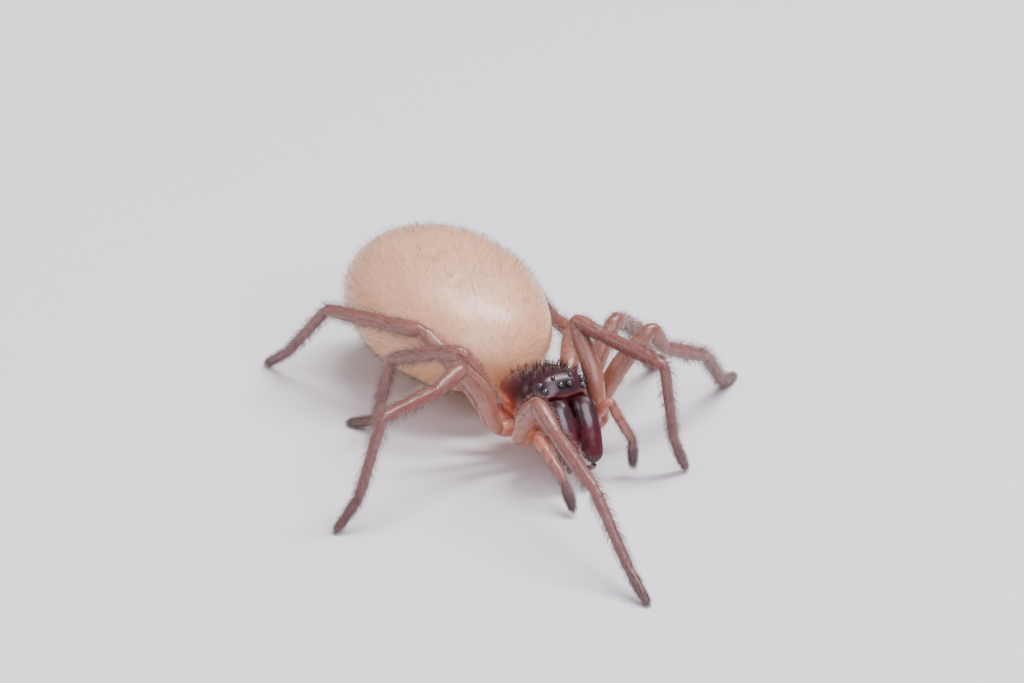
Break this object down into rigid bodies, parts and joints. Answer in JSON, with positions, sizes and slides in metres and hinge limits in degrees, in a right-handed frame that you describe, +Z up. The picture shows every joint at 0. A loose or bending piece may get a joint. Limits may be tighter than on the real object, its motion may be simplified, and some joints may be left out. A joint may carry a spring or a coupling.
{
  "type": "spider",
  "caption": "Still life-size model of a pale spider with a large rounded abdomen, a dark glossy front body, stout jaws and long legs, standing on its feet.",
  "frame": {"origin": "middle of the bounding box's bottom face, on the floor between the feet", "axes": "the spider faces -Y, its left side is +X, +Z is up"},
  "size_m": [0.025, 0.0298, 0.0069],
  "materials": {
    "carapace_maroon": "glossy dark maroon shell shading to red brown at the sides",
    "abdomen_cream": "soft pale cream skin with short fine hair and a satin sheen",
    "leg_amber": "glossy translucent red brown skin with fine hair",
    "coxa_orange": "glossy orange red skin",
    "jaw_black_maroon": "very glossy black maroon shell",
    "fang_black": "glossy black",
    "eye_dark": "glossy black lens",
    "eye_pearl": "glossy pearl grey lens"
  },
  "bodies": {
    "root": {"carapace": "carapace_maroon", "sternum": "coxa_orange", "labium": "coxa_orange", "pedicel": "coxa_orange", "abdomen": "abdomen_cream", "spinneret_front_right": "coxa_orange", "spinneret_back_right": "coxa_orange", "chelicera_right": "jaw_black_maroon", "fang_right": "fang_black", "maxilla_right": "coxa_orange", "palp_right": "leg_amber", "eye_front_middle_right": "eye_dark", "eye_back_middle_right": "eye_pearl", "eye_front_side_right": "eye_pearl", "eye_back_side_right": "eye_pearl", "coxa_right_1": "coxa_orange", "leg_right_1_femur": "leg_amber", "leg_right_1_tibia": "leg_amber", "leg_right_1_foot": "leg_amber", "coxa_right_2": "coxa_orange", "leg_right_2_femur": "leg_amber", "leg_right_2_tibia": "leg_amber", "leg_right_2_foot": "leg_amber", "coxa_right_3": "coxa_orange", "leg_right_3_femur": "leg_amber", "leg_right_3_tibia": "leg_amber", "leg_right_3_foot": "leg_amber", "coxa_right_4": "coxa_orange", "leg_right_4_femur": "leg_amber", "leg_right_4_tibia": "leg_amber", "leg_right_4_foot": "leg_amber", "spinneret_front_left": "coxa_orange", "spinneret_back_left": "coxa_orange", "chelicera_left": "jaw_black_maroon", "fang_left": "fang_black", "maxilla_left": "coxa_orange", "palp_left": "leg_amber", "eye_front_middle_left": "eye_dark", "eye_back_middle_left": "eye_pearl", "eye_front_side_left": "eye_pearl", "eye_back_side_left": "eye_pearl", "coxa_left_1": "coxa_orange", "leg_left_1_femur": "leg_amber", "leg_left_1_tibia": "leg_amber", "leg_left_1_foot": "leg_amber", "coxa_left_2": "coxa_orange", "leg_left_2_femur": "leg_amber", "leg_left_2_tibia": "leg_amber", "leg_left_2_foot": "leg_amber", "coxa_left_3": "coxa_orange", "leg_left_3_femur": "leg_amber", "leg_left_3_tibia": "leg_amber", "leg_left_3_foot": "leg_amber", "coxa_left_4": "coxa_orange", "leg_left_4_femur": "leg_amber", "leg_left_4_tibia": "leg_amber", "leg_left_4_foot": "leg_amber"}
  },
  "joints": []
}
